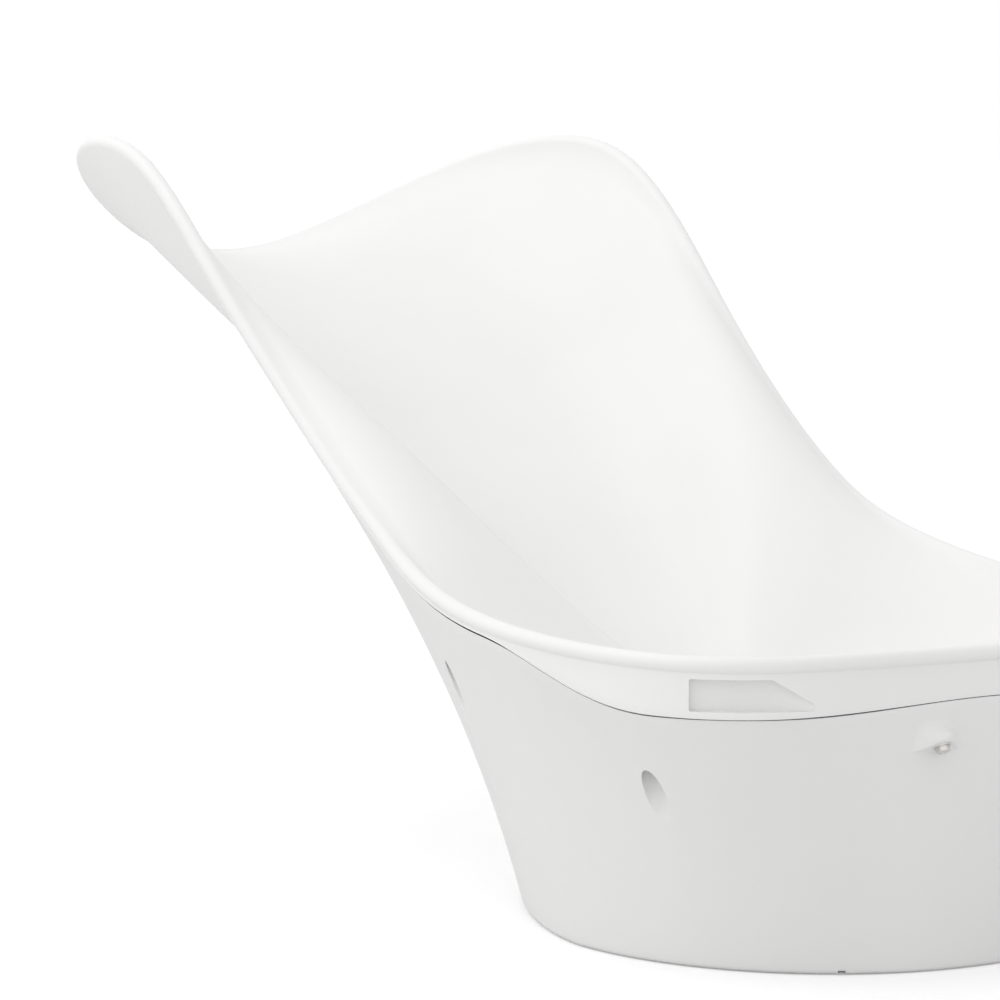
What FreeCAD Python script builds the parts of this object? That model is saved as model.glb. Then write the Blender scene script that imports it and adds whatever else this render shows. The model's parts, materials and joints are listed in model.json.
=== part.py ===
import FreeCAD, Part
import functools
import math
import os

# Seat outline seen from above, head at -X and foot at +X
waist_position = 101.84
front_length = 701.0
head_length = 918.0
waist_half_width = 325.7
head_flare = 341.0
front_flare = 51.4
front_flare_run = 220.0
front_corner_power = 5.6
head_corner_power = 1.82

# Height of the rim along the sides and over the head
side_rim_height = 297.7
back_rake_deg = 44.5
bend_position = 167.54
bend_run = 249.0
front_rise = 18.8
head_dip_height = 706.0
ear_slope_deg = 39.5
dip_softness = 202.0
ear_rounding = 105.0

# Hollow of the seat
low_point_position = 374.54
low_point_height = 240.0
side_hollow_height = 300.0
back_hollow_height = 830.0
hollow_power = 4
edge_power = 6
flat_floor_share = 0.05
back_softness_share = 0.12
side_softness_share = 1.2
front_softness_share = 0.7
bowl_step_shares = (0.05, 0.1, 0.15, 0.21, 0.28, 0.38, 0.5, 0.62, 0.74, 0.84, 0.92, 1.0)

# Seat walls, rolled rim and hanging skirt
seat_wall = 6.5
bead_radius = 9.0
roll_angles_deg = (115.0, 60.0, 0.0)
hang_angle_deg = -60.0
hang_shares = (0.5, 1.0)
skirt_root_angle_deg = -100.0
skirt_wall = 6.0
short_skirt = 4.0
tall_skirt = 46.0
skirt_start = 431.54
skirt_run = 270.0
front_relief = 10.0
front_relief_spread_deg = 34.0

# Hand grips sunk in the skirt at the two front corners
grip_deep_deg = 41.7
grip_shallow_deg = 28.0
grip_backing = 34.0
grip_backing_margin_deg = 8.0
grip_depth = 9.0
grip_run_out = 1.0
grip_height = 33.0
grip_lift = 7.0
grip_nose_height = 7.0
grip_slant = 42.0
grip_corner_radius = 3.0

# Pedestal under the seat
base_position = 474.84
base_front_length = 314.0
base_back_length = 450.0
base_half_width = 287.0
base_front_power = 2.1
base_back_power = 1.48
base_back_reach = 505.0
base_back_rounding = 90.0
base_bottom = 1.0
base_wall = 8.0
base_floor = 20.0
flare_bend_share = 0.44
seam_gap = 2.5
hidden_gap = 8.0
leave_share = 0.8
join_share = 0.15
base_step_shares = (0.0, 0.2, 0.4, 0.6, 0.8, 1.0)

# Small notch that lets water out under the pedestal's edge
notch_angle_deg = 28.0
notch_width = 8.0
notch_height = 4.0
notch_depth = 12.0

# Upright bores in the flared wall, where bolts go up unseen: direction and height of their mouths
side_bore_angle_deg = 52.4
side_bore_height = 188.0
rear_bore_angle_deg = 117.0
rear_bore_height = 252.0
bore_radius = 14.0
bore_rise = 48.0
bore_wall = 5.0
bore_drop = 42.0
bore_clamp = 22.0

# Bolts that hold the seat to the pedestal: two under bosses in front and four in the bores
front_fixing_angle_deg = 10.2
front_ledge_height = 240.0
front_ledge_reach = 9.0
front_bolt_tilt_deg = 30.0
front_clamp = 29.0
boss_radius = 17.0
lug_radius = 14.0
lug_cover = 3.0
lug_gap = 0.4
bolt_radius = 4.0
bolt_head_flats = 13.0
bolt_head_height = 5.5
bolt_end_gap = 2.0
bolt_hole_clearance = 0.5
washer_radius = 9.0
washer_thickness = 1.6
washer_clearance = 0.3
insert_flats = 13.0
insert_length = 20.0
insert_clearance = 0.05
thread_clearance = 0.05

# Rubber pads sunk in the underside of the pedestal
pad_front_reach = 190.0
pad_front_spread = 160.0
pad_back_reach = 360.0
pad_back_spread = 58.0
pad_radius = 24.0
pad_thickness = 8.0
pad_clearance = 0.3

# Sampling of the free curves, and how far cuts run past what they cut
ring_points = 48
crowding_share = 0.55
step_angle = 0.002
step_share = 0.002
overrun = 60.0

ring_turns = [2 * math.pi * i / ring_points for i in range(ring_points)]
ring_angles = [turn + crowding_share * math.sin(turn) for turn in ring_turns]
vector = FreeCAD.Vector
UP = vector(0, 0, 1)


def smooth_least(a, b, rounding):
    """Lesser of two heights with a rounded change from one to the other."""
    return (a + b - math.sqrt((a - b) ** 2 + rounding ** 2)) / 2


def ease(share):
    """Soft change from 0 to 1."""
    s = min(max(share, 0.0), 1.0)
    return s * s * (3 - 2 * s)


def half_width_at(x):
    """Half width of the seat outline before its ends are rounded."""
    run = x - waist_position
    if run < 0:
        return waist_half_width + head_flare * (run / head_length) ** 2
    return waist_half_width + front_flare * (1 - math.exp(-((run / front_flare_run) ** 2)))


def outside(x, y):
    """True where a point lies outside the seat outline."""
    run = x - waist_position
    power = head_corner_power if run < 0 else front_corner_power
    reach = head_length if run < 0 else front_length
    return abs(run / reach) ** power + abs(y / half_width_at(x)) ** power > 1


@functools.lru_cache(maxsize=None)
def outline_reach(angle):
    """Distance from the low point of the seat to its outline."""
    near = 0.0
    far = head_length + front_length
    for _ in range(40):
        middle = (near + far) / 2
        x = low_point_position + middle * math.cos(angle)
        if outside(x, middle * math.sin(angle)):
            far = middle
        else:
            near = middle
    return (near + far) / 2


def rim_height(x, y):
    """Height of the rim: raked sides, low front and two ears at the head."""
    ahead = bend_position - x
    slope = math.tan(math.radians(back_rake_deg))
    side = side_rim_height + slope * (ahead + math.hypot(ahead, bend_run)) / 2
    if ahead < 0:
        side = side + front_rise * (ahead / front_length) ** 2
    ear = math.tan(math.radians(ear_slope_deg)) * (math.hypot(y, dip_softness) - dip_softness)
    return smooth_least(side, head_dip_height + ear, ear_rounding)


def sag(run, softness):
    """Share of the depth reached at a share of the way from the flat floor to the rim."""
    return (math.hypot(run, softness) - softness) / (math.hypot(1.0, softness) - softness)


def bowl_point(angle, share):
    """Point on the sitting surface: a plain hollow that turns into the wavy rim near its edge."""
    reach = outline_reach(angle)
    c = math.cos(angle)
    s = math.sin(angle)
    end = front_softness_share if c > 0 else back_softness_share
    softness = end + (side_softness_share - end) * s ** 4
    run = max(share - flat_floor_share, 0.0) / (1 - flat_floor_share)
    backward = ((1 - c) / 2) ** hollow_power
    hollow = side_hollow_height + (back_hollow_height - side_hollow_height) * backward
    top = rim_height(low_point_position + reach * c, reach * s)
    rise = (hollow - low_point_height) * sag(run, softness) + (top - hollow) * run ** edge_power
    return vector(low_point_position + reach * share * c, reach * share * s, low_point_height + rise)


def bowl_frame(angle, share):
    """Point, outward direction along the surface, and the surface's own up."""
    p = bowl_point(angle, share)
    along = bowl_point(angle + step_angle, share) - bowl_point(angle - step_angle, share)
    out = p - bowl_point(angle, share - step_share)
    along.normalize()
    normal = out.cross(along)
    normal.normalize()
    return p, along.cross(normal), normal


def roll_point(angle, turn_deg):
    """Point on the rolled rim at a turn about the roll's own centre."""
    p, out, normal = bowl_frame(angle, 1.0)
    half = seat_wall / 2
    middle = p + out * math.sqrt(bead_radius ** 2 - half ** 2) - normal * half
    turn = math.radians(turn_deg)
    return middle + out * (bead_radius * math.cos(turn)) + normal * (bead_radius * math.sin(turn))


def hang_point(angle, turn_deg, share):
    """Point on the rolled rim, a share of the way down to a turn below the level."""
    slope = math.degrees(math.asin(bowl_frame(angle, 1.0)[1].z))
    return roll_point(angle, (turn_deg - slope) * share)


def signed_deg(angle):
    """Angle in degrees from straight ahead, either way round."""
    return math.degrees(math.atan2(math.sin(angle), math.cos(angle)))


def skirt_height(angle):
    """Length of the skirt below the rolled rim."""
    x = low_point_position + outline_reach(angle) * math.cos(angle)
    tall = tall_skirt - front_relief * ease(1 - abs(signed_deg(angle)) / front_relief_spread_deg)
    return short_skirt + (tall - short_skirt) * ease((x - skirt_start) / skirt_run)


def backing(angle):
    """Extra thickness behind the skirt at the hand grips."""
    deg = abs(signed_deg(angle))
    past = max(deg - grip_deep_deg, grip_shallow_deg - deg)
    return grip_backing * ease(1 - past / grip_backing_margin_deg)


def level(direction):
    """The level part of a direction, one long."""
    flat = vector(direction.x, direction.y, 0)
    flat.normalize()
    return flat


def skirt_point(angle, inward):
    """Lower edge of the skirt, hung straight down from the roll."""
    flat = level(bowl_frame(angle, 1.0)[1])
    return hang_point(angle, hang_angle_deg, 1) - UP * skirt_height(angle) - flat * inward


def under_point(angle, share):
    """Point on the underside of the seat wall."""
    p, out, normal = bowl_frame(angle, share)
    return p - normal * seat_wall


def ring(point_at):
    """Closed smooth wire through the points found round the seat."""
    curve = Part.BSplineCurve()
    marks = [i / ring_points for i in range(ring_points + 1)]
    curve.interpolate(Points=[point_at(a) for a in ring_angles], PeriodicFlag=True, Parameters=marks)
    return Part.Wire([curve.toShape()])


def bands(rings):
    """Flat-sectioned bands from each ring to the next."""
    return Part.makeLoft(rings, False, True).Faces


def closed_solid(faces):
    """Solid bounded by faces that share their rings."""
    shell = Part.makeShell(faces)
    shell.sewShape()
    solid = Part.Solid(shell.Shells[0] if shell.Shells else shell)
    if solid.Volume < 0:
        solid.reverse()
    return solid


def rim_underside(angle):
    """Edge where the underside meets the skirt, further in behind a hand grip."""
    return under_point(angle, 1 - backing(angle) / outline_reach(angle))


def skirt_root(angle):
    """Upper inside edge of the skirt."""
    return hang_point(angle, skirt_root_angle_deg, 1) + rim_underside(angle) - under_point(angle, 1.0)


def seat_body():
    """Sitting surface, rolled rim, skirt and underside as one closed wall."""
    inner = [ring(lambda a, t=t: bowl_point(a, t)) for t in bowl_step_shares]
    roll = [ring(lambda a, d=d: roll_point(a, d)) for d in roll_angles_deg]
    roll += [ring(lambda a, t=t: hang_point(a, hang_angle_deg, t)) for t in hang_shares]
    roll.append(ring(lambda a: skirt_point(a, 0)))
    roll.append(ring(lambda a: skirt_point(a, skirt_wall + backing(a))))
    roll.append(ring(skirt_root))
    under = [ring(lambda a, t=t: under_point(a, t)) for t in bowl_step_shares[:-1]]
    under.append(ring(rim_underside))
    faces = bands(inner + roll + under[::-1])
    return closed_solid(faces + [Part.Face(inner[0]), Part.Face(under[0])])


def base_edge_point(angle, inward):
    """Upper edge of the pedestal: under the skirt in front, round the bowl behind."""
    reach = outline_reach(angle)
    share = smooth_least(reach, base_back_reach, base_back_rounding) / reach
    p, out, normal = bowl_frame(angle, share - inward / reach)
    behind = p - normal * (seat_wall + hidden_gap)
    weight = ease((share - leave_share) / join_share)
    ahead = skirt_point(angle, inward) - UP * (seam_gap + hidden_gap * math.sqrt(1 - weight))
    return behind * (1 - weight) + ahead * weight


def base_point(angle, share):
    """Point on the outside of the pedestal wall."""
    c = math.cos(angle)
    s = math.sin(angle)
    length = base_front_length if c > 0 else base_back_length
    power = base_front_power if c > 0 else base_back_power
    reach = (abs(c / length) ** power + abs(s / base_half_width) ** power) ** (-1 / power)
    foot = vector(base_position + reach * c, reach * s, base_bottom)
    top = base_edge_point(angle, 0)
    lean = share * (1 - flare_bend_share + flare_bend_share * share)
    return vector(foot.x + (top.x - foot.x) * lean, foot.y + (top.y - foot.y) * lean,
                  foot.z + (top.z - foot.z) * share)


def base_frame(angle, share):
    """Point on the pedestal wall and the wall's outward direction."""
    p = base_point(angle, share)
    along = base_point(angle + step_angle, share) - base_point(angle - step_angle, share)
    rise = base_point(angle, share + step_share) - p
    normal = along.cross(rise)
    normal.normalize()
    return p, normal


def wall_at(angle, height):
    """Point and outward direction of the pedestal wall at a height."""
    rise = base_edge_point(angle, 0).z - base_bottom
    return base_frame(angle, (height - base_bottom) / rise)


def inside_wall(angle, height):
    """Point on the inside of the pedestal wall at a height."""
    p, normal = wall_at(angle, height)
    return p - level(normal) * base_wall


def over_bowl(p):
    """Height of a point over the sitting surface, with that surface's own place."""
    x = p.x - low_point_position
    angle = math.atan2(p.y, x)
    share = math.hypot(x, p.y) / outline_reach(angle)
    return p.z - bowl_point(angle, share).z, angle, share


@functools.lru_cache(maxsize=None)
def inside_top(angle):
    """Height of the pedestal's inner top edge, clear of the seat above it."""
    edge = base_edge_point(angle, 0).z
    top = edge
    for _ in range(8):
        above, place, share = over_bowl(inside_wall(angle, top))
        room = (seat_wall + hidden_gap) / bowl_frame(place, share)[2].z
        top = smooth_least(edge, top - above - room, seam_gap)
    return top


def base_inner_point(angle, share):
    """Point on the inside of the pedestal wall, from the floor up."""
    return inside_wall(angle, base_floor + (inside_top(angle) - base_floor) * share)


def around_base_point(angle, share):
    """Point well outside the pedestal wall."""
    p, normal = base_frame(angle, share)
    return p + level(normal) * overrun


def around_base():
    """Thick sleeve of space right outside the pedestal wall."""
    near = [ring(lambda a, t=t: base_point(a, t)) for t in base_step_shares]
    away = [ring(lambda a, t=t: around_base_point(a, t)) for t in base_step_shares[::-1]]
    return closed_solid(bands(near + away + near[:1]))


def base_body():
    """Flared hollow pedestal with a floor and an open top."""
    outer = [ring(lambda a, t=t: base_point(a, t)) for t in base_step_shares]
    inner = [ring(lambda a, t=t: base_inner_point(a, t)) for t in base_step_shares]
    faces = bands(outer + inner[::-1])
    return closed_solid(faces + [Part.Face(outer[0]), Part.Face(inner[0])])


def facing(point, x_way, z_way):
    """Placement with its own X and Z along two given directions."""
    return FreeCAD.Placement(point, FreeCAD.Rotation(x_way, vector(), z_way, "ZXY"))


def grip_cut(side):
    """Pocket with a flat floor that starts deep and runs out along the skirt."""
    deep = skirt_point(side * math.radians(grip_deep_deg), 0)
    shallow = skirt_point(side * math.radians(grip_shallow_deg), 0)
    chord = level(shallow - deep)
    inward = UP.cross(chord) * -side
    start = deep + inward * grip_depth
    end = shallow + inward * grip_run_out
    along = level(end - start)
    length = math.hypot(end.x - start.x, end.y - start.y)
    base = vector(start.x, start.y, min(deep.z, shallow.z) + grip_lift)
    outline = ((0, 0), (length, 0), (length, grip_nose_height), (length - grip_slant, grip_height),
               (0, grip_height), (0, 0))
    points = [base + along * u + UP * v for u, v in outline]
    outward = along.cross(UP) * -side
    pocket = Part.Face(Part.makePolygon(points)).extrude(outward * overrun)
    ways = [(edge, edge.tangentAt(edge.FirstParameter)) for edge in pocket.Edges]
    corners = [edge for edge, way in ways if abs(way.dot(outward)) > along.Length / 2]
    return pocket.makeFillet(grip_corner_radius, corners)


def notch_cut(side):
    """Small drain notch in the pedestal's lower edge."""
    p, normal = base_frame(side * math.radians(notch_angle_deg), 0)
    flat = level(normal)
    box = Part.makeBox(notch_height, notch_width, notch_depth + overrun)
    box.Placement = facing(p - flat * notch_depth + UP.cross(flat) * (notch_width / 2), UP, flat)
    return box


def front_fixing(side):
    """Middle of the ledge, way into the seat and clamped length of a front bolt."""
    p, normal = wall_at(side * math.radians(front_fixing_angle_deg), front_ledge_height)
    flat = level(normal)
    tilt = math.radians(front_bolt_tilt_deg)
    return p + flat * front_ledge_reach, UP * math.cos(tilt) - flat * math.sin(tilt), front_clamp


def bore_fixing(side, turn_deg, height):
    """The same for a bolt that goes straight up from the top of a bore."""
    p, normal = wall_at(side * math.radians(turn_deg), height)
    return p + UP * bore_rise, UP, bore_clamp


def bore_housing(fixing):
    """Thick wall round a bore, from under its mouth up to the seat's lug."""
    ledge, way, clamp = fixing
    drop = bore_rise + bore_drop
    return rod(bore_radius + bore_wall, drop + clamp, ledge - way * drop, way)


def lug_end(start, way):
    """Plane just under the sitting surface where a line from below meets it."""
    near = 0.0
    far = 2 * overrun
    for _ in range(40):
        middle = (near + far) / 2
        above, angle, share = over_bowl(start + way * middle)
        if above > 0:
            far = middle
        else:
            near = middle
    normal = bowl_frame(angle, share)[2]
    return start + way * middle - normal * lug_cover, normal


def rod(radius, length, start, way):
    """Round bar from a point along a direction."""
    return Part.makeCylinder(radius, length, start, way)


def seat_lug(fixing):
    """Boss under the seat that a bolt screws into."""
    ledge, way, clamp = fixing
    start = ledge + way * clamp
    end, normal = lug_end(start, way)
    return rod(lug_radius, 2 * overrun, start, way).cut(rod(2 * overrun, 2 * overrun, end, normal))


def hex_bar(flats, length, start, way):
    """Hexagonal bar from a point along a direction."""
    corner = flats / 2 / math.cos(math.pi / 6)
    turns = [i * math.pi / 3 for i in range(7)]
    outline = Part.makePolygon([vector(corner * math.cos(t), corner * math.sin(t), 0) for t in turns])
    bar = Part.Face(outline).extrude(UP * length)
    bar.Placement = facing(start, way.cross(vector(0, 1, 0)), way)
    return bar


def insert_blank(fixing, clearance):
    """Hexagonal bush moulded in the seat lug, without its bore."""
    ledge, way, clamp = fixing
    return hex_bar(insert_flats + 2 * clearance, insert_length, ledge + way * clamp, way)


def insert_body(fixing):
    """Threaded bush."""
    ledge, way, clamp = fixing
    bore = rod(bolt_radius + thread_clearance, insert_length, ledge + way * clamp, way)
    return insert_blank(fixing, 0).cut(bore)


def washer_body(fixing):
    """Flat washer under the bolt head."""
    ledge, way, clamp = fixing
    start = ledge - way * washer_thickness
    hole = rod(bolt_radius + washer_clearance, washer_thickness, start, way)
    return rod(washer_radius, washer_thickness, start, way).cut(hole)


def bolt_body(fixing):
    """Hexagon bolt from under the washer up into the bush."""
    ledge, way, clamp = fixing
    under_head = ledge - way * washer_thickness
    head = hex_bar(bolt_head_flats, bolt_head_height, under_head - way * bolt_head_height, way)
    shank = washer_thickness + clamp + insert_length - bolt_end_gap
    return head.fuse(rod(bolt_radius, shank, under_head, way)).removeSplitter()


def pad_bar(spot, extra):
    """Round bar at the place of a rubber pad, wider than the pad by some extra."""
    reach, spread = spot
    return rod(pad_radius + extra, pad_thickness, vector(base_position + reach, spread, 0), UP)


def single(shape):
    """The one solid of a finished piece."""
    if len(shape.Solids) != 1 or not shape.isValid():
        raise RuntimeError("a piece came apart")
    return shape.Solids[0]


bosses = {"front_left": front_fixing(1), "front_right": front_fixing(-1)}
bores = {"side_left": bore_fixing(1, side_bore_angle_deg, side_bore_height),
         "side_right": bore_fixing(-1, side_bore_angle_deg, side_bore_height),
         "rear_left": bore_fixing(1, rear_bore_angle_deg, rear_bore_height),
         "rear_right": bore_fixing(-1, rear_bore_angle_deg, rear_bore_height)}
fixings = {**bosses, **bores}
pad_spots = {"front_left": (pad_front_reach, pad_front_spread),
             "front_right": (pad_front_reach, -pad_front_spread),
             "rear_left": (-pad_back_reach, pad_back_spread),
             "rear_right": (-pad_back_reach, -pad_back_spread)}

seat = seat_body().fuse([seat_lug(f) for f in fixings.values()])
seat = seat.cut([insert_blank(f, insert_clearance) for f in fixings.values()] + [grip_cut(1), grip_cut(-1)])

sleeve = around_base()
thick = [rod(boss_radius, clamp, ledge, way) for ledge, way, clamp in bosses.values()]
thick += [bore_housing(fixing).cut(sleeve) for fixing in bores.values()]
base = base_body().fuse(thick)
cuts = [notch_cut(1), notch_cut(-1)]
for ledge, way, clamp in fixings.values():
    cuts.append(rod(bolt_radius + bolt_hole_clearance, clamp, ledge, way))
    cuts.append(rod(lug_radius + lug_gap, overrun, ledge + way * clamp, way))
for ledge, way, clamp in bores.values():
    cuts.append(rod(bore_radius, 2 * overrun, ledge - way * (2 * overrun), way))
cuts += [pad_bar(spot, pad_clearance) for spot in pad_spots.values()]
base = base.cut(cuts)

pieces = {"seat_shell": seat, "base_shell": base}
for place, fixing in fixings.items():
    pieces["bolt_" + place] = bolt_body(fixing)
    pieces["washer_" + place] = washer_body(fixing)
    pieces["insert_" + place] = insert_body(fixing)
for place, spot in pad_spots.items():
    pieces["foot_pad_" + place] = pad_bar(spot, 0)

os.makedirs("parts", exist_ok=True)
for name, shape in pieces.items():
    single(shape).exportStep("parts/" + name + ".step")
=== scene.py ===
import json
import math

import bmesh
import bpy
import numpy as np
from mathutils import Matrix, Vector


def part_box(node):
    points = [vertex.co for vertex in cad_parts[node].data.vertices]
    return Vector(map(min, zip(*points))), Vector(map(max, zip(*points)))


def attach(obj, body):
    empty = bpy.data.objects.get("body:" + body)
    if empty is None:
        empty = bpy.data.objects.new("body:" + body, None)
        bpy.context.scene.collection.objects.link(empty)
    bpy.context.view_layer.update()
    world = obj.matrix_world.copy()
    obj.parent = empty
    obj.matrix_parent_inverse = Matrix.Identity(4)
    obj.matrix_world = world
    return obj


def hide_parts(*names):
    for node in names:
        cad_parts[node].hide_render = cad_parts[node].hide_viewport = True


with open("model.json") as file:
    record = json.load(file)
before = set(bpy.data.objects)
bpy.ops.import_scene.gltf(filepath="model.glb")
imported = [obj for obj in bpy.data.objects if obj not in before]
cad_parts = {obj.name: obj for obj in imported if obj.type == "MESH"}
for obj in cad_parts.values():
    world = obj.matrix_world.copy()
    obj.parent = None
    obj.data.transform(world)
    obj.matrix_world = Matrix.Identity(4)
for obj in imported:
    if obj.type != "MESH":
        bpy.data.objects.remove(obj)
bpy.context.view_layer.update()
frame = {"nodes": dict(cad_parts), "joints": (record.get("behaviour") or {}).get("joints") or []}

# Seat outline seen from above, in metres: head at -X, foot at +X
waist_position = 0.10184
front_length = 0.701
head_length = 0.918
waist_half_width = 0.3257
head_flare = 0.341
front_flare = 0.0514
front_flare_run = 0.220
front_corner_power = 5.6
head_corner_power = 1.82

# Height of the rim along the sides and over the head
side_rim_height = 0.2977
back_rake = math.tan(math.radians(44.5))
bend_position = 0.16754
bend_run = 0.249
front_rise = 0.0188
head_dip_height = 0.706
ear_slope = math.tan(math.radians(39.5))
dip_softness = 0.202
ear_rounding = 0.105

# Hollow of the seat
low_point_position = 0.37454
low_point_height = 0.240
side_hollow_height = 0.300
back_hollow_height = 0.830
hollow_power = 4
edge_power = 6
softness_power = 4
flat_floor_share = 0.05
back_softness_share = 0.12
side_softness_share = 1.2
front_softness_share = 0.7

# Seat walls, rolled rim, skirt and the thicker skirt behind the hand grips
seat_wall = 0.0065
bead_radius = 0.009
hang_angle_deg = -60.0
skirt_root_angle_deg = -100.0
skirt_wall = 0.006
short_skirt = 0.004
tall_skirt = 0.046
skirt_start = 0.43154
skirt_run = 0.270
front_relief = 0.010
front_relief_spread_deg = 34.0
grip_deep_deg = 41.7
grip_shallow_deg = 28.0
grip_backing = 0.034
grip_backing_margin_deg = 8.0
grip_depth = 0.009
grip_run_out = 0.001
grip_height = 0.033
grip_lift = 0.007
grip_nose_height = 0.007
grip_slant = 0.042
grip_corner_radius = 0.003

# Head end, where the skirt fades out and the wall thickens to a smooth back
ear_start = -0.150
ear_run = 0.250
ear_fill_share = 0.01
ear_thick_share = 0.6
ear_turn_deg = -86.0
ear_turn_share = 0.1
left_at_head_share = 0.01

# Pedestal
base_position = 0.47484
base_front_length = 0.314
base_back_length = 0.450
base_half_width = 0.287
base_front_power = 2.1
base_back_power = 1.48
base_back_reach = 0.505
base_back_rounding = 0.090
base_bottom = 0.001
base_wall = 0.008
base_floor = 0.020
base_edge_radius = 0.004
flare_bend_share = 0.44
seam_gap = 0.001
hidden_gap = 0.008
leave_share = 0.8
join_share = 0.15
notch_angle_deg = 28.0
notch_size = (0.008, 0.024, 0.008)

# Upright bolt bores in the pedestal wall
bore_radius = 0.014
bore_wall = 0.005
bore_drop = 0.090
block_inset = 0.002

# Bolted fixings, whose places come from the frame's joints, and the hoods over the front ones
clamps = {"front": 0.029, "side": 0.022, "rear": 0.022}
hood_half_width = 0.034
hood_reach = 0.0135
hood_sink = 0.0008
hood_backing = 0.007
hood_edge_radius = 0.003
wall_radius = 0.45
lug_radius = 0.010
lug_cover = 0.003
lug_gap = 0.0004
bolt_radius = 0.004
bolt_hole_radius = 0.0045
bolt_head_flats = 0.013
bolt_head_height = 0.0055
bolt_chamfer = 0.0011
bolt_chamfer_shares = (1.0, 0.66, 0.33, 0.0)
bolt_face_share = 0.97
bolt_end_gap = 0.002
thread_pitch = 0.00125
thread_depth = 0.0006
thread_length = 0.030
thread_steps = 6
bolt_tip_share = 0.25
washer_thickness = 0.0016
insert_length = 0.020
insert_flats = 0.0131

# Rows of the seat mesh, from the low point over the rim and back underneath
bowl_row_shares = (*np.linspace(0.02, 0.9, 40), *np.linspace(0.915, 0.985, 6))
roll_rows_deg = (126, 108, 90, 72, 54, 36, 18, 0)
hang_row_shares = (0.2, 0.4, 0.6, 0.8, 1.0)
skirt_row_shares = (0.05, 0.2, 0.4, 0.6, 0.8, 0.95)
skirt_lip_shares = (0.1, 0.3)
under_row_shares = np.linspace(0.9, 0.06, 28)

# Rows of the pedestal mesh, from the foot over the upper edge and down inside
foot_edge_rows = 4
outside_row_shares = np.linspace(0.04, 0.985, 40)
edge_row_shares = (0.12, 0.88)
inside_row_shares = np.linspace(0.985, 0.0, 16)

# Rows of the block that trims the bore housings, and of the hoods
block_row_shares = np.linspace(0.0, 1.0, 21)
hood_edge_shares = (0.0, 0.1, 0.3, 0.6, 1.0)
hood_rows = 10
hood_columns = 41

# Other mesh steps, the angles that stay sharp, and how far cuts run past what they cut
around = 288
crowding_share = 0.55
bar_sides = 64
lug_sides = 48
bolt_sides = 72
hexagon_sides = 6
corner_steps = 6
shell_sharp_deg = 40
bolt_sharp_deg = 28
step = 0.002
overrun = 0.060

# Rounds of each search for a place that no formula gives
outline_halvings = 40
lug_halvings = 30
inside_top_rounds = 8
wall_reach_rounds = 4
hood_wall_rounds = 6

# Looks: pairs of colours and of roughness, and the depth of the fine relief
even = (1.0, 1.0, 1.0)
seat_whites = ((0.868, 0.867, 0.862), (0.852, 0.851, 0.845))
seat_roughness = (0.34, 0.46)
base_whites = ((0.828, 0.827, 0.822), (0.808, 0.807, 0.801))
base_roughness = (0.4, 0.54)
base_streak = (1.0, 1.0, 0.35)
plastic_wave = 0.0006
plastic_peel = 0.0003
plastic_glow_depth = 0.004
steel_colours = ((0.8, 0.79, 0.77), (0.62, 0.61, 0.59))
steel_roughness = (0.3, 0.5)
brass_colours = ((0.72, 0.53, 0.26), (0.5, 0.35, 0.16))
brass_roughness = (0.25, 0.45)
turning_streak = (1.0, 1.0, 6.0)
turning_marks = 0.0001
rubber_colours = ((0.022, 0.022, 0.024), (0.07, 0.07, 0.07))
rubber_roughness = (0.7, 0.9)
rubber_grain = 0.0002
floor_greys = ((0.79, 0.79, 0.79), (0.81, 0.81, 0.81))

# Camera of the photograph
camera_target_x = 0.44694
camera_distance = 4.8
camera_height = 0.864
camera_azimuth = math.radians(36.0)
focal_px = 4400.0
image_px = 1000.0
heading_offset_px = 287.0
pitch_offset_px = 370.0
sensor_mm = 36.0

# Studio: sky brighter towards one side, one soft lamp, and a floor that stays white to the camera
bright_side = (-0.534, -0.845, 0.0)
sky_low = 0.76
sky_high = 1.2
floor_half_size = 80.0
floor_glow = 0.27
lamp_position = (-0.6, -1.6, 3.2)
lamp_target = (0.2, 0.0, 0.3)
lamp_size = 2.4
lamp_power = 11.5

pads = ("front_left", "front_right", "rear_left", "rear_right")
bores = ("side_left", "side_right", "rear_left", "rear_right")
places = ("front_left", "front_right", *bores)
turns = np.linspace(0, 2 * math.pi, around, endpoint=False)
ring_angles = turns + crowding_share * np.sin(turns)
up = np.array((0.0, 0.0, 1.0))


def smooth_least(a, b, rounding):
    """Lesser of two values with a rounded change from one to the other."""
    return (a + b - np.sqrt((a - b) ** 2 + rounding ** 2)) / 2


def ease(share):
    """Soft change from 0 to 1."""
    s = np.clip(share, 0, 1)
    return s * s * (3 - 2 * s)


def unit(v):
    """Vectors made one long."""
    return v / np.linalg.norm(v, axis=-1, keepdims=True)


def level(v):
    """Level part of vectors, one long."""
    return unit(v * np.array((1.0, 1.0, 0.0)))


def half_width_at(x):
    """Half width of the seat outline before its ends are rounded."""
    run = x - waist_position
    head = head_flare * (run / head_length) ** 2
    front = front_flare * (1 - np.exp(-((run / front_flare_run) ** 2)))
    return waist_half_width + np.where(run < 0, head, front)


def outline_reach(angle):
    """Distance from the low point of the seat to its outline."""
    near = np.zeros_like(angle)
    far = np.full_like(angle, head_length + front_length)
    for _ in range(outline_halvings):
        middle = (near + far) / 2
        x = low_point_position + middle * np.cos(angle)
        run = x - waist_position
        power = np.where(run < 0, head_corner_power, front_corner_power)
        length = np.where(run < 0, head_length, front_length)
        y_share = np.abs(middle * np.sin(angle) / half_width_at(x))
        outside = np.abs(run / length) ** power + y_share ** power > 1
        far = np.where(outside, middle, far)
        near = np.where(outside, near, middle)
    return (near + far) / 2


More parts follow.
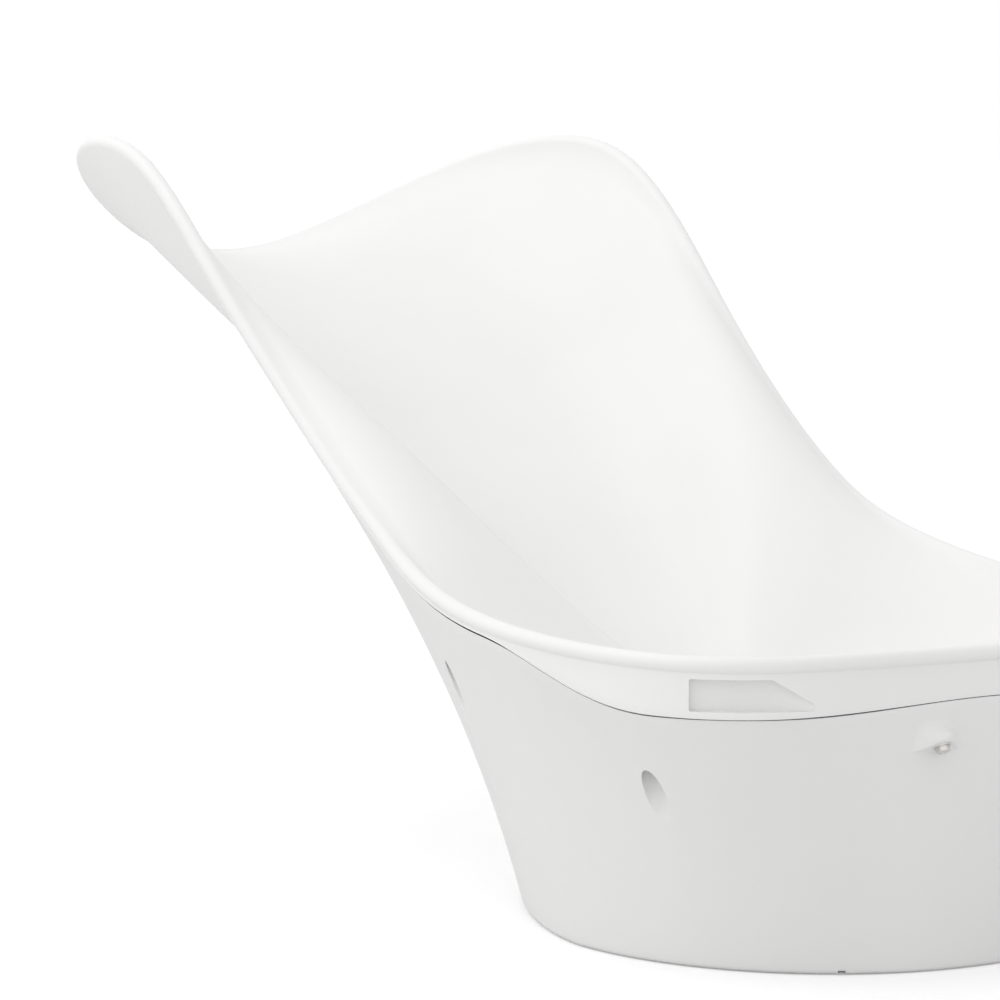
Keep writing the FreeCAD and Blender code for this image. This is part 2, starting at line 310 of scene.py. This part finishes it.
def rim_height(x, y):
    """Height of the rim: raked sides, low front and two ears at the head."""
    ahead = bend_position - x
    side = side_rim_height + back_rake * (ahead + np.hypot(ahead, bend_run)) / 2
    side = side + np.where(ahead < 0, front_rise * (ahead / front_length) ** 2, 0)
    ear = ear_slope * (np.hypot(y, dip_softness) - dip_softness)
    return smooth_least(side, head_dip_height + ear, ear_rounding)


def bowl(angle, share):
    """Points on the sitting surface."""
    reach = outline_reach(angle)
    c = np.cos(angle)
    s = np.sin(angle)
    end = np.where(c > 0, front_softness_share, back_softness_share)
    soft = end + (side_softness_share - end) * s ** softness_power
    run = np.maximum(share - flat_floor_share, 0) / (1 - flat_floor_share)
    backward = ((1 - c) / 2) ** hollow_power
    hollow = side_hollow_height + (back_hollow_height - side_hollow_height) * backward
    top = rim_height(low_point_position + reach * c, reach * s)
    sag = (np.hypot(run, soft) - soft) / (np.hypot(1, soft) - soft)
    rise = (hollow - low_point_height) * sag + (top - hollow) * run ** edge_power
    x = low_point_position + reach * share * c
    return np.stack((x, reach * share * s, low_point_height + rise), axis=-1)


def bowl_frame(angle, share):
    """Points, outward directions along the surface, and the surface's own up."""
    p = bowl(angle, share)
    along = unit(bowl(angle + step, share) - bowl(angle - step, share))
    normal = unit(np.cross(p - bowl(angle, share - step), along))
    return p, np.cross(along, normal), normal


def roll(angle, turn_deg):
    """Points on the rolled rim at a turn about the roll's own centre."""
    p, out, normal = bowl_frame(angle, 1.0)
    half = seat_wall / 2
    middle = p + out * math.sqrt(bead_radius ** 2 - half ** 2) - normal * half
    turn = np.radians(np.broadcast_to(turn_deg, angle.shape))[:, None]
    return middle + (out * np.cos(turn) + normal * np.sin(turn)) * bead_radius


def hang(angle, turn_deg, share):
    """Points on the roll, a share of the way down to a turn below the level."""
    slope = np.degrees(np.arcsin(bowl_frame(angle, 1.0)[1][:, 2]))
    plain = ear_turn_deg + (turn_deg - hang_angle_deg) * ear_turn_share
    head = at_head(angle)
    return roll(angle, ((turn_deg - slope) * (1 - head) + plain * head) * share)


def signed_deg(angle):
    """Angles in degrees from straight ahead, either way round."""
    return np.degrees(np.arctan2(np.sin(angle), np.cos(angle)))


def at_head(angle):
    """1 round the head end, 0 along the sides and in front."""
    x = low_point_position + outline_reach(angle) * np.cos(angle)
    return ease((ear_start - x) / ear_run)


def skirt_height(angle):
    """Length of the skirt below the rolled rim."""
    x = low_point_position + outline_reach(angle) * np.cos(angle)
    tall = tall_skirt - front_relief * ease(1 - np.abs(signed_deg(angle)) / front_relief_spread_deg)
    short = short_skirt * (1 + left_at_head_share - at_head(angle))
    return short + (tall - short_skirt) * ease((x - skirt_start) / skirt_run)


def backing(angle):
    """Extra thickness behind the skirt at the hand grips."""
    deg = np.abs(signed_deg(angle))
    past = np.maximum(deg - grip_deep_deg, grip_shallow_deg - deg)
    return grip_backing * ease(1 - past / grip_backing_margin_deg)


def skirt(angle, inward, drop_share=1.0):
    """Points of the skirt, hung straight down from the roll."""
    flat = level(bowl_frame(angle, 1.0)[1])
    drop = (skirt_height(angle) * drop_share)[:, None]
    inward = (inward * (1 + left_at_head_share - at_head(angle)))[:, None]
    return hang(angle, hang_angle_deg, 1.0) - up * drop - flat * inward


def under(angle, share):
    """Points on the underside of the seat wall."""
    p, _, normal = bowl_frame(angle, share)
    near_rim = ease((share - ear_thick_share) / (1 - ear_thick_share))
    extra = (bead_radius - seat_wall / 2) * at_head(angle) * near_rim
    return p - normal * (seat_wall + extra)[:, None]


def base_edge(angle):
    """Upper edge of the pedestal: under the skirt in front, round the bowl behind."""
    reach = outline_reach(angle)
    share = smooth_least(reach, base_back_reach, base_back_rounding) / reach
    p, _, normal = bowl_frame(angle, share)
    weight = ease((share - leave_share) / join_share)[:, None]
    behind = p - normal * (seat_wall + hidden_gap)
    ahead = skirt(angle, 0.0) - up * (seam_gap + hidden_gap * np.sqrt(1 - weight))
    return behind * (1 - weight) + ahead * weight


def base_outside(angle, share):
    """Points on the outside of the pedestal wall."""
    c = np.cos(angle)
    s = np.sin(angle)
    length = np.where(c > 0, base_front_length, base_back_length)
    power = np.where(c > 0, base_front_power, base_back_power)
    reach = (np.abs(c / length) ** power + np.abs(s / base_half_width) ** power) ** (-1 / power)
    top = base_edge(angle)
    share = np.broadcast_to(share, angle.shape)
    lean = share * (1 - flare_bend_share + flare_bend_share * share)
    x = base_position + reach * c
    y = reach * s
    return np.stack((x + (top[:, 0] - x) * lean, y + (top[:, 1] - y) * lean,
                     base_bottom + (top[:, 2] - base_bottom) * share), axis=-1)


def base_frame(angle, share):
    """Points on the pedestal wall and the wall's outward directions."""
    p = base_outside(angle, share)
    along = base_outside(angle + step, share) - base_outside(angle - step, share)
    return p, unit(np.cross(along, base_outside(angle, share + step) - p))


def wall_at(angle, height):
    """Points and outward directions of the pedestal wall at a height."""
    rise = base_edge(angle)[:, 2] - base_bottom
    return base_frame(angle, (height - base_bottom) / rise)


def inside_wall(angle, height):
    """Points on the inside of the pedestal wall at a height."""
    p, normal = wall_at(angle, height)
    return p - level(normal) * base_wall


def inside_top(angle):
    """Height of the pedestal's inner top edge, clear of the seat above it."""
    edge = base_edge(angle)[:, 2]
    top = edge
    for _ in range(inside_top_rounds):
        p = inside_wall(angle, top)
        x = p[:, 0] - low_point_position
        place = np.arctan2(p[:, 1], x)
        share = np.hypot(x, p[:, 1]) / outline_reach(place)
        q, _, normal = bowl_frame(place, share)
        room = (seat_wall + hidden_gap) / normal[:, 2]
        top = smooth_least(edge, top - (p[:, 2] - q[:, 2]) - room, seam_gap)
    return top


def mesh_object(name, vertices, faces):
    """New object in the scene from points and faces, with its faces turned outward."""
    mesh = bpy.data.meshes.new(name)
    mesh.from_pydata([tuple(v) for v in vertices], [], faces)
    work = bmesh.new()
    work.from_mesh(mesh)
    bmesh.ops.recalc_face_normals(work, faces=work.faces)
    work.to_mesh(mesh)
    work.free()
    piece = bpy.data.objects.new(name, mesh)
    bpy.context.scene.collection.objects.link(piece)
    return piece


def tube(name, rows, first, last):
    """Closed skin through equal rows of points, with a middle point at each end."""
    count = len(rows[0])
    vertices = np.concatenate([*rows, [first], [last]])
    faces = []
    for r in range(len(rows) - 1):
        for i in range(count):
            j = (i + 1) % count
            faces.append((r * count + i, r * count + j, (r + 1) * count + j, (r + 1) * count + i))
    end = (len(rows) - 1) * count
    for i in range(count):
        j = (i + 1) % count
        faces.append((len(vertices) - 2, j, i))
        faces.append((len(vertices) - 1, end + i, end + j))
    return mesh_object(name, vertices, faces)


def joined(name, pieces):
    """One object made of several separate ones."""
    vertices = []
    faces = []
    for piece in pieces:
        shift = len(vertices)
        vertices += [tuple(v.co) for v in piece.data.vertices]
        faces += [tuple(shift + i for i in f.vertices) for f in piece.data.polygons]
        bpy.data.objects.remove(piece)
    return mesh_object(name, vertices, faces)


def combine(piece, tool, operation):
    """Adds a tool's form to a piece or cuts it away, and deletes the tool."""
    change = piece.modifiers.new(operation, "BOOLEAN")
    change.operation = operation
    change.object = tool
    change.solver = "EXACT"
    shape = piece.evaluated_get(bpy.context.evaluated_depsgraph_get())
    mesh = bpy.data.meshes.new_from_object(shape)
    piece.modifiers.clear()
    piece.data = mesh
    bpy.data.objects.remove(tool)


def smooth_shaded(piece, sharp_deg):
    """Smooth shading with sharp edges kept."""
    piece.data.shade_smooth()
    piece.data.set_sharp_from_angle(angle=math.radians(sharp_deg))


def across(way):
    """Two directions square to a way."""
    side = unit(np.cross(way, np.array((0.0, 1.0, 0.0))))
    return side, np.cross(way, side)


def round_rows(start, way, profile, count):
    """Rings of points round a way, from pairs of distance along it and radius."""
    side, other = across(way)
    t = np.linspace(0, 2 * math.pi, count, endpoint=False)[:, None]
    return [start + way * d + (side * np.cos(t) + other * np.sin(t)) * r for d, r in profile]


def bar(name, start, way, profile, count=bar_sides):
    """Solid of revolution about a way."""
    return tube(name, round_rows(start, way, profile, count),
                start + way * profile[0][0], start + way * profile[-1][0])


def fixing(place):
    """Middle of a bolt's ledge, the way into the seat, and the clamped length."""
    joint = [j for j in frame["joints"] if j["name"] == "bolt_%s_turn" % place][0]
    return np.array(joint["pos_m"]), -unit(np.array(joint["axis"])), clamps[place.split("_")[0]]


def lug(place):
    """Boss under the seat that a bolt screws into, ending just under the sitting surface."""
    ledge, way, clamp = fixing(place)
    start = ledge + way * clamp
    near = 0.0
    far = 2 * overrun
    for _ in range(lug_halvings):
        middle = (near + far) / 2
        p = start + way * middle
        angle = np.array([math.atan2(p[1], p[0] - low_point_position)])
        share = np.hypot(p[0] - low_point_position, p[1]) / outline_reach(angle)
        q, _, normal = bowl_frame(angle, share)
        near, far = (near, middle) if p[2] > q[0, 2] else (middle, far)
    end = p - normal[0] * lug_cover
    first = round_rows(start, way, ((0, lug_radius),), lug_sides)[0]
    lengths = ((end - first) @ normal[0]) / (way @ normal[0])
    last = first + lengths[:, None] * way
    return tube("lug", [first, last], start, last.mean(axis=0))


def insert_hole(place):
    """Hexagonal hole for the threaded bush."""
    ledge, way, clamp = fixing(place)
    corner = insert_flats / 2 / math.cos(math.pi / 6)
    profile = ((-overrun / 2, corner), (insert_length, corner))
    return bar("hole", ledge + way * clamp, way, profile, hexagon_sides)


def grip_cut(side):
    """Pocket with a flat floor that starts deep and runs out along the skirt."""
    angles = side * np.radians(np.array((grip_deep_deg, grip_shallow_deg)))
    deep, shallow = skirt(angles, 0.0)
    inward = np.cross(up, level(shallow - deep)) * -side
    start = deep + inward * grip_depth
    end = shallow + inward * grip_run_out
    along = level(end - start)
    length = float((end - start) @ along)
    origin = np.array((start[0], start[1], min(deep[2], shallow[2]) + grip_lift))
    corners = ((0, 0), (length, 0), (length, grip_nose_height), (length - grip_slant, grip_height),
               (0, grip_height))
    outline = [origin + along * u + up * v for u, v in rounded(corners, grip_corner_radius)]
    outward = np.cross(along, up) * -side
    rows = [np.array(outline), np.array(outline) + outward * overrun]
    return tube("pocket", rows, rows[0].mean(axis=0), rows[1].mean(axis=0))


def rounded(corners, radius):
    """Outline with its corners rounded."""
    points = []
    for i, here in enumerate(corners):
        here = np.array(here, float)
        before = unit(np.array(corners[i - 1], float) - here)
        after = unit(np.array(corners[(i + 1) % len(corners)], float) - here)
        cut = radius / math.tan(math.acos(float(np.clip(before @ after, -1, 1))) / 2)
        for k in range(corner_steps + 1):
            t = k / corner_steps
            points.append(here + before * cut * (1 - t) ** 2 + after * cut * t ** 2)
    return points


def make_seat():
    """Seat shell: bowl, rolled rim, skirt, underside, lugs and hand grips."""
    a = ring_angles
    rows = [bowl(a, t) for t in bowl_row_shares]
    rows += [roll(a, deg) for deg in roll_rows_deg]
    rows += [hang(a, hang_angle_deg, t) for t in hang_row_shares]
    rows += [skirt(a, 0.0, t) for t in skirt_row_shares]
    rows += [skirt(a, skirt_wall * t) for t in skirt_lip_shares]
    rows.append(skirt(a, skirt_wall + backing(a)))
    inner = 1 - backing(a) / outline_reach(a)
    rows.append(hang(a, skirt_root_angle_deg, 1.0) + under(a, inner) - under(a, 1.0))
    rows.append(under(a, inner - ear_fill_share * at_head(a)))
    rows += [under(a, t) for t in under_row_shares]
    centre = np.array((low_point_position, 0.0, low_point_height))
    seat = tube("seat", rows, centre, centre - up * seat_wall)
    combine(seat, joined("lugs", [lug(p) for p in places]), "UNION")
    cuts = [grip_cut(1), grip_cut(-1)] + [insert_hole(p) for p in places]
    combine(seat, joined("cuts", cuts), "DIFFERENCE")
    smooth_shaded(seat, shell_sharp_deg)
    return seat


def notch_cut(side):
    """Small drain notch in the pedestal's lower edge."""
    p, normal = base_frame(side * np.array([math.radians(notch_angle_deg)]), 0.0)
    flat = level(normal[0])
    width, depth, height = notch_size
    wide = np.cross(up, flat) * width / 2
    corners = [p[0] + wide * i + flat * depth / 2 * j for i, j in ((-1, -1), (1, -1), (1, 1), (-1, 1))]
    rows = [np.array(corners) - up * height / 2, np.array(corners) + up * height / 2]
    return tube("notch", rows, rows[0].mean(axis=0), rows[1].mean(axis=0))


def wall_reach(ledge, flat, side, aside, height):
    """How far out the pedestal wall lies, beside a bolt and at a height."""
    angle = np.full(aside.shape, math.atan2(ledge[1], ledge[0] - low_point_position))
    for _ in range(wall_reach_rounds):
        p = wall_at(angle, height)[0]
        angle = angle + (aside - (p - ledge) @ side) / wall_radius
    return (p - ledge) @ flat


def hood(place):
    """Soft hood that grows out of the pedestal wall and ends in a ledge over a bolt head."""
    ledge, way, clamp = fixing(place)
    flat = -level(way)
    side = np.cross(up, flat)
    out = np.cross(side, way)
    depths = np.concatenate((hood_edge_radius * np.array(hood_edge_shares),
                             np.linspace(hood_edge_radius, clamp, hood_rows)[1:]))
    aside = np.linspace(-hood_half_width, hood_half_width, hood_columns)
    deep, beside = (grid.ravel() for grid in np.meshgrid(depths, aside, indexing="ij"))
    wall = np.zeros(deep.shape)
    for _ in range(hood_wall_rounds):
        height = ledge[2] + way[2] * deep + out[2] * wall
        wall = (wall_reach(ledge, flat, side, beside, height) - deep * (way @ flat)) / (out @ flat)
    wall = wall.reshape(len(depths), len(aside))
    bell = np.cos(aside / hood_half_width * math.pi / 2) ** 2
    short = np.clip(1 - depths / hood_edge_radius, 0, 1)
    edge = hood_edge_radius * (1 - np.sqrt(1 - short ** 2))
    lead = (hood_reach - wall[0, len(aside) // 2]) * np.cos(depths / clamp * math.pi / 2) ** 2 - edge
    rows = []
    for depth, behind, ahead in zip(depths, wall, lead):
        middle = ledge + way * depth + aside[:, None] * side
        skin = middle + (behind + ahead * bell - hood_sink)[:, None] * out
        back = middle + (behind - hood_backing)[:, None] * out
        rows.append(np.concatenate((skin, back[::-1])))
    return tube("hood", rows, rows[0].mean(axis=0), rows[-1].mean(axis=0))


def bore_housings():
    """Thick walls round the bolt bores, kept inside the pedestal's outer wall."""
    radius = bore_radius + bore_wall
    bars = []
    for place in bores:
        ledge, way, clamp = fixing(place)
        bars.append(bar("housing", ledge, way, ((-bore_drop, radius), (clamp, radius))))
    housings = joined("housings", bars)
    rows = []
    for share in block_row_shares:
        p, normal = base_frame(ring_angles, share)
        rows.append(p - level(normal) * block_inset)
    foot = np.array((base_position, 0.0, base_bottom))
    combine(housings, tube("block", rows, foot, foot + up * (side_rim_height + overrun)), "INTERSECT")
    return housings


def make_base():
    """Pedestal: flared wall, floor, hoods, bolt bores and drain notches."""
    a = ring_angles
    rows = []
    for k in range(foot_edge_rows + 1):
        turn = k * math.pi / (2 * foot_edge_rows)
        p, normal = base_frame(a, base_edge_radius * (1 - math.cos(turn)) / low_point_height)
        rows.append(p - level(normal) * base_edge_radius * (1 - math.sin(turn)))
    rows += [base_outside(a, t) for t in outside_row_shares]
    top = base_outside(a, 1.0)
    inner_top = inside_top(a)
    inner_edge = inside_wall(a, inner_top)
    rows += [top + (inner_edge - top) * t for t in edge_row_shares]
    rows += [inside_wall(a, base_floor + (inner_top - base_floor) * t) for t in inside_row_shares]
    foot = np.array((base_position, 0.0, base_bottom))
    base = tube("base", rows, foot, foot + up * (base_floor - base_bottom))
    thick = [bore_housings()] + [hood(p) for p in places if p not in bores]
    combine(base, joined("thick", thick), "UNION")
    cuts = [notch_cut(1), notch_cut(-1)]
    shafts = []
    for place in places:
        ledge, way, clamp = fixing(place)
        wide = lug_radius + lug_gap
        profile = ((-bore_wall, bolt_hole_radius), (clamp, bolt_hole_radius),
                   (clamp, wide), (clamp + overrun, wide))
        shafts.append(bar("shaft", ledge, way, profile))
    for place in bores:
        ledge, way, clamp = fixing(place)
        cuts.append(bar("bore", ledge, way, ((-2 * overrun, bore_radius), (0.0, bore_radius))))
    for place in pads:
        low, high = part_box("foot_pad_" + place)
        middle = (np.array(low) + np.array(high)) / 2 * np.array((1, 1, 0))
        radius = (high.x - low.x) / 2
        cuts.append(bar("seating", middle, up, ((-overrun, radius), (high.z, radius))))
    combine(base, joined("cuts", cuts), "DIFFERENCE")
    combine(base, joined("shafts", shafts), "DIFFERENCE")
    smooth_shaded(base, shell_sharp_deg)
    return base


def make_bolt(place):
    """Hexagon bolt with a chamfered head and a rolled thread."""
    ledge, way, clamp = fixing(place)
    t = np.linspace(0, 2 * math.pi, bolt_sides, endpoint=False)
    side, other = across(way)
    spokes = side * np.cos(t)[:, None] + other * np.sin(t)[:, None]
    hexagon = bolt_head_flats / 2 / np.cos(t % (math.pi / 3) - math.pi / 6)
    under_head = -washer_thickness
    rows = []
    for k in bolt_chamfer_shares:
        limit = bolt_head_flats / 2 * bolt_face_share + bolt_chamfer * (1 - k) * math.sqrt(3)
        z = under_head - bolt_head_height + bolt_chamfer * (1 - k)
        rows.append(ledge + way * z + spokes * np.minimum(hexagon, limit)[:, None])
    rows.append(ledge + way * under_head + spokes * hexagon[:, None])
    end = clamp + insert_length - bolt_end_gap
    rows.append(ledge + way * under_head + spokes * bolt_radius)
    for z in np.arange(end - thread_length, end - thread_pitch, thread_pitch / thread_steps):
        phase = (z / thread_pitch - t / (2 * math.pi)) % 1.0
        dip = thread_depth * np.abs(2 * phase - 1) * ease((z - end + thread_length) / thread_pitch)
        rows.append(ledge + way * z + spokes * (bolt_radius - dip)[:, None])
    tip_radius = bolt_radius - thread_depth - thread_pitch * bolt_tip_share
    rows.append(ledge + way * end + spokes * tip_radius)
    face = ledge + way * (under_head - bolt_head_height)
    bolt = tube("hex_bolt_" + place, rows, face, ledge + way * end)
    smooth_shaded(bolt, bolt_sharp_deg)
    return bolt


def new_material(name):
    """Empty material with its shader, node list and links."""
    material = bpy.data.materials.new(name)
    material.use_nodes = True
    tree = material.node_tree
    return material, tree.nodes["Principled BSDF"], tree


def noise(tree, scale, detail, stretch=even):
    """Noise in the object's own metres."""
    place = tree.nodes.new("ShaderNodeTexCoord")
    mapping = tree.nodes.new("ShaderNodeMapping")
    mapping.inputs["Scale"].default_value = stretch
    texture = tree.nodes.new("ShaderNodeTexNoise")
    texture.inputs["Scale"].default_value = scale
    texture.inputs["Detail"].default_value = detail
    tree.links.new(place.outputs["Object"], mapping.inputs["Vector"])
    tree.links.new(mapping.outputs["Vector"], texture.inputs["Vector"])
    return texture.outputs["Fac"]


def spread(tree, value, source, target):
    """Value moved from one range to another."""
    node = tree.nodes.new("ShaderNodeMapRange")
    for name, number in zip(("From Min", "From Max", "To Min", "To Max"), (*source, *target)):
        node.inputs[name].default_value = number
    tree.links.new(value, node.inputs["Value"])
    return node.outputs["Result"]


def tinted(tree, factor, first, second):
    """Colour between two, by a factor."""
    node = tree.nodes.new("ShaderNodeMix")
    node.data_type = "RGBA"
    node.inputs["A"].default_value = (*first, 1.0)
    node.inputs["B"].default_value = (*second, 1.0)
    tree.links.new(factor, node.inputs["Factor"])
    return node.outputs["Result"]


def bumped(tree, height, strength, distance, below=None):
    """Bump from a height, over another bump."""
    node = tree.nodes.new("ShaderNodeBump")
    node.inputs["Strength"].default_value = strength
    node.inputs["Distance"].default_value = distance
    tree.links.new(height, node.inputs["Height"])
    if below is not None:
        tree.links.new(below, node.inputs["Normal"])
    return node.outputs["Normal"]


def moulded_plastic(name, colours, roughness, streak):
    """White rotationally moulded polyethylene: cloudy tone, satin gloss and orange peel."""
    material, shader, tree = new_material(name)
    bright, dull = colours
    cloud = spread(tree, noise(tree, scale=4.0, detail=4.0, stretch=streak), (0.35, 0.65), (0.0, 1.0))
    tree.links.new(tinted(tree, cloud, dull, bright), shader.inputs["Base Color"])
    rough = spread(tree, noise(tree, scale=60.0, detail=6.0, stretch=streak), (0.3, 0.7), roughness)
    tree.links.new(rough, shader.inputs["Roughness"])
    wave = bumped(tree, noise(tree, scale=9.0, detail=2.0), 0.2, plastic_wave)
    peel = bumped(tree, noise(tree, scale=420.0, detail=3.0), 0.12, plastic_peel, wave)
    tree.links.new(peel, shader.inputs["Normal"])
    shader.inputs["IOR"].default_value = 1.5
    shader.inputs["Subsurface Weight"].default_value = 0.06
    shader.inputs["Subsurface Radius"].default_value = (1.0, 0.95, 0.9)
    shader.inputs["Subsurface Scale"].default_value = plastic_glow_depth
    return material


def turned_metal(name, colours, roughness):
    """Bare metal with fine turning marks and dull patches."""
    material, shader, tree = new_material(name)
    patch = spread(tree, noise(tree, scale=180.0, detail=5.0), (0.35, 0.7), (0.0, 1.0))
    tree.links.new(tinted(tree, patch, *colours), shader.inputs["Base Color"])
    tree.links.new(spread(tree, patch, (0.0, 1.0), roughness), shader.inputs["Roughness"])
    marks = noise(tree, scale=900.0, detail=2.0, stretch=turning_streak)
    tree.links.new(bumped(tree, marks, 0.15, turning_marks), shader.inputs["Normal"])
    shader.inputs["Metallic"].default_value = 1.0
    return material


def pad_rubber(name):
    """Dark rubber with a grainy face and pale scuffs."""
    material, shader, tree = new_material(name)
    scuff = spread(tree, noise(tree, scale=90.0, detail=8.0), (0.55, 0.75), (0.0, 1.0))
    tree.links.new(tinted(tree, scuff, *rubber_colours), shader.inputs["Base Color"])
    tree.links.new(spread(tree, scuff, (0.0, 1.0), rubber_roughness), shader.inputs["Roughness"])
    grain = bumped(tree, noise(tree, scale=1500.0, detail=3.0), 0.4, rubber_grain)
    tree.links.new(grain, shader.inputs["Normal"])
    return material


def finish_piece(piece, material, body, node):
    """Gives a new piece its material and its place in the frame."""
    piece.data.materials.clear()
    piece.data.materials.append(material)
    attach(piece, body)
    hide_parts(node)


def coat(node, material):
    """Gives a piece of the frame its material."""
    piece = frame["nodes"][node]
    piece.data.materials.clear()
    piece.data.materials.append(material)


def dress():
    """Builds the shells and bolts and gives every piece its material."""
    seat_plastic = moulded_plastic("seat_polyethylene", seat_whites, seat_roughness, even)
    base_plastic = moulded_plastic("base_polyethylene", base_whites, base_roughness, base_streak)
    steel = turned_metal("stainless_steel", steel_colours, steel_roughness)
    brass = turned_metal("brass", brass_colours, brass_roughness)
    rubber = pad_rubber("pad_rubber")
    finish_piece(make_seat(), seat_plastic, "lounger", "seat_shell")
    finish_piece(make_base(), base_plastic, "lounger", "base_shell")
    for place in places:
        finish_piece(make_bolt(place), steel, "bolt_" + place, "bolt_" + place)
        coat("washer_" + place, steel)
        coat("insert_" + place, brass)
    for place in pads:
        coat("foot_pad_" + place, rubber)


def make_floor():
    """Pale floor that keeps the object's shadow."""
    size = floor_half_size
    corners = [(-size, -size, 0), (size, -size, 0), (size, size, 0), (-size, size, 0)]
    floor = mesh_object("floor", corners, [(0, 1, 2, 3)])
    material, shader, tree = new_material("floor")
    speck = spread(tree, noise(tree, scale=30.0, detail=3.0), (0.3, 0.7), (0.0, 1.0))
    tree.links.new(tinted(tree, speck, *floor_greys), shader.inputs["Base Color"])
    paths = tree.nodes.new("ShaderNodeLightPath")
    glow = spread(tree, paths.outputs["Is Camera Ray"], (0.0, 1.0), (0.0, floor_glow))
    tree.links.new(glow, shader.inputs["Emission Strength"])
    shader.inputs["Emission Color"].default_value = (1.0, 1.0, 1.0, 1.0)
    shader.inputs["Roughness"].default_value = 1.0
    shader.inputs["Specular IOR Level"].default_value = 0.0
    floor.data.materials.append(material)


def make_sky():
    """White surroundings: full white to the camera, softer as light and brighter on one side."""
    world = bpy.data.worlds.new("studio")
    bpy.context.scene.world = world
    world.use_nodes = True
    tree = world.node_tree
    light = tree.nodes["Background"]
    light.inputs["Color"].default_value = (1.0, 1.0, 1.0, 1.0)
    place = tree.nodes.new("ShaderNodeTexCoord")
    towards = tree.nodes.new("ShaderNodeVectorMath")
    towards.operation = "DOT_PRODUCT"
    towards.inputs[1].default_value = bright_side
    tree.links.new(place.outputs["Generated"], towards.inputs[0])
    soft = spread(tree, towards.outputs["Value"], (-1.0, 1.0), (sky_low, sky_high))
    paths = tree.nodes.new("ShaderNodeLightPath")
    choice = tree.nodes.new("ShaderNodeMix")
    tree.links.new(paths.outputs["Is Camera Ray"], choice.inputs["Factor"])
    tree.links.new(soft, choice.inputs["A"])
    choice.inputs["B"].default_value = 1.0
    tree.links.new(choice.outputs["Result"], light.inputs["Strength"])


def make_lamp(name, position, target, size, power):
    """Soft square lamp that faces a point."""
    data = bpy.data.lights.new(name, "AREA")
    data.size = size
    data.energy = power
    lamp = bpy.data.objects.new(name, data)
    lamp.location = position
    lamp.rotation_euler = (Vector(target) - Vector(position)).to_track_quat("-Z", "Y").to_euler()
    bpy.context.scene.collection.objects.link(lamp)


def make_camera():
    """Camera where the photograph's was."""
    heading = camera_azimuth - math.atan(heading_offset_px / focal_px)
    pitch = math.atan(pitch_offset_px / focal_px)
    ahead = math.cos(pitch)
    look = Vector((-math.cos(heading) * ahead, math.sin(heading) * ahead, -math.sin(pitch)))
    right = Vector((math.sin(heading), math.cos(heading), 0))
    top = right.cross(look)
    data = bpy.data.cameras.new("camera")
    data.sensor_width = sensor_mm
    data.lens = focal_px / image_px * sensor_mm
    camera = bpy.data.objects.new("camera", data)
    spot = Vector((camera_target_x + camera_distance * math.cos(camera_azimuth),
                   -camera_distance * math.sin(camera_azimuth), camera_height))
    turn = Matrix((right, top, -look)).transposed().to_4x4()
    camera.matrix_world = Matrix.Translation(spot) @ turn
    bpy.context.scene.collection.objects.link(camera)
    bpy.context.scene.camera = camera


dress()
make_floor()
make_sky()
make_lamp("overhead", lamp_position, lamp_target, lamp_size, lamp_power)
make_camera()
bpy.context.scene.view_settings.view_transform = "Standard"
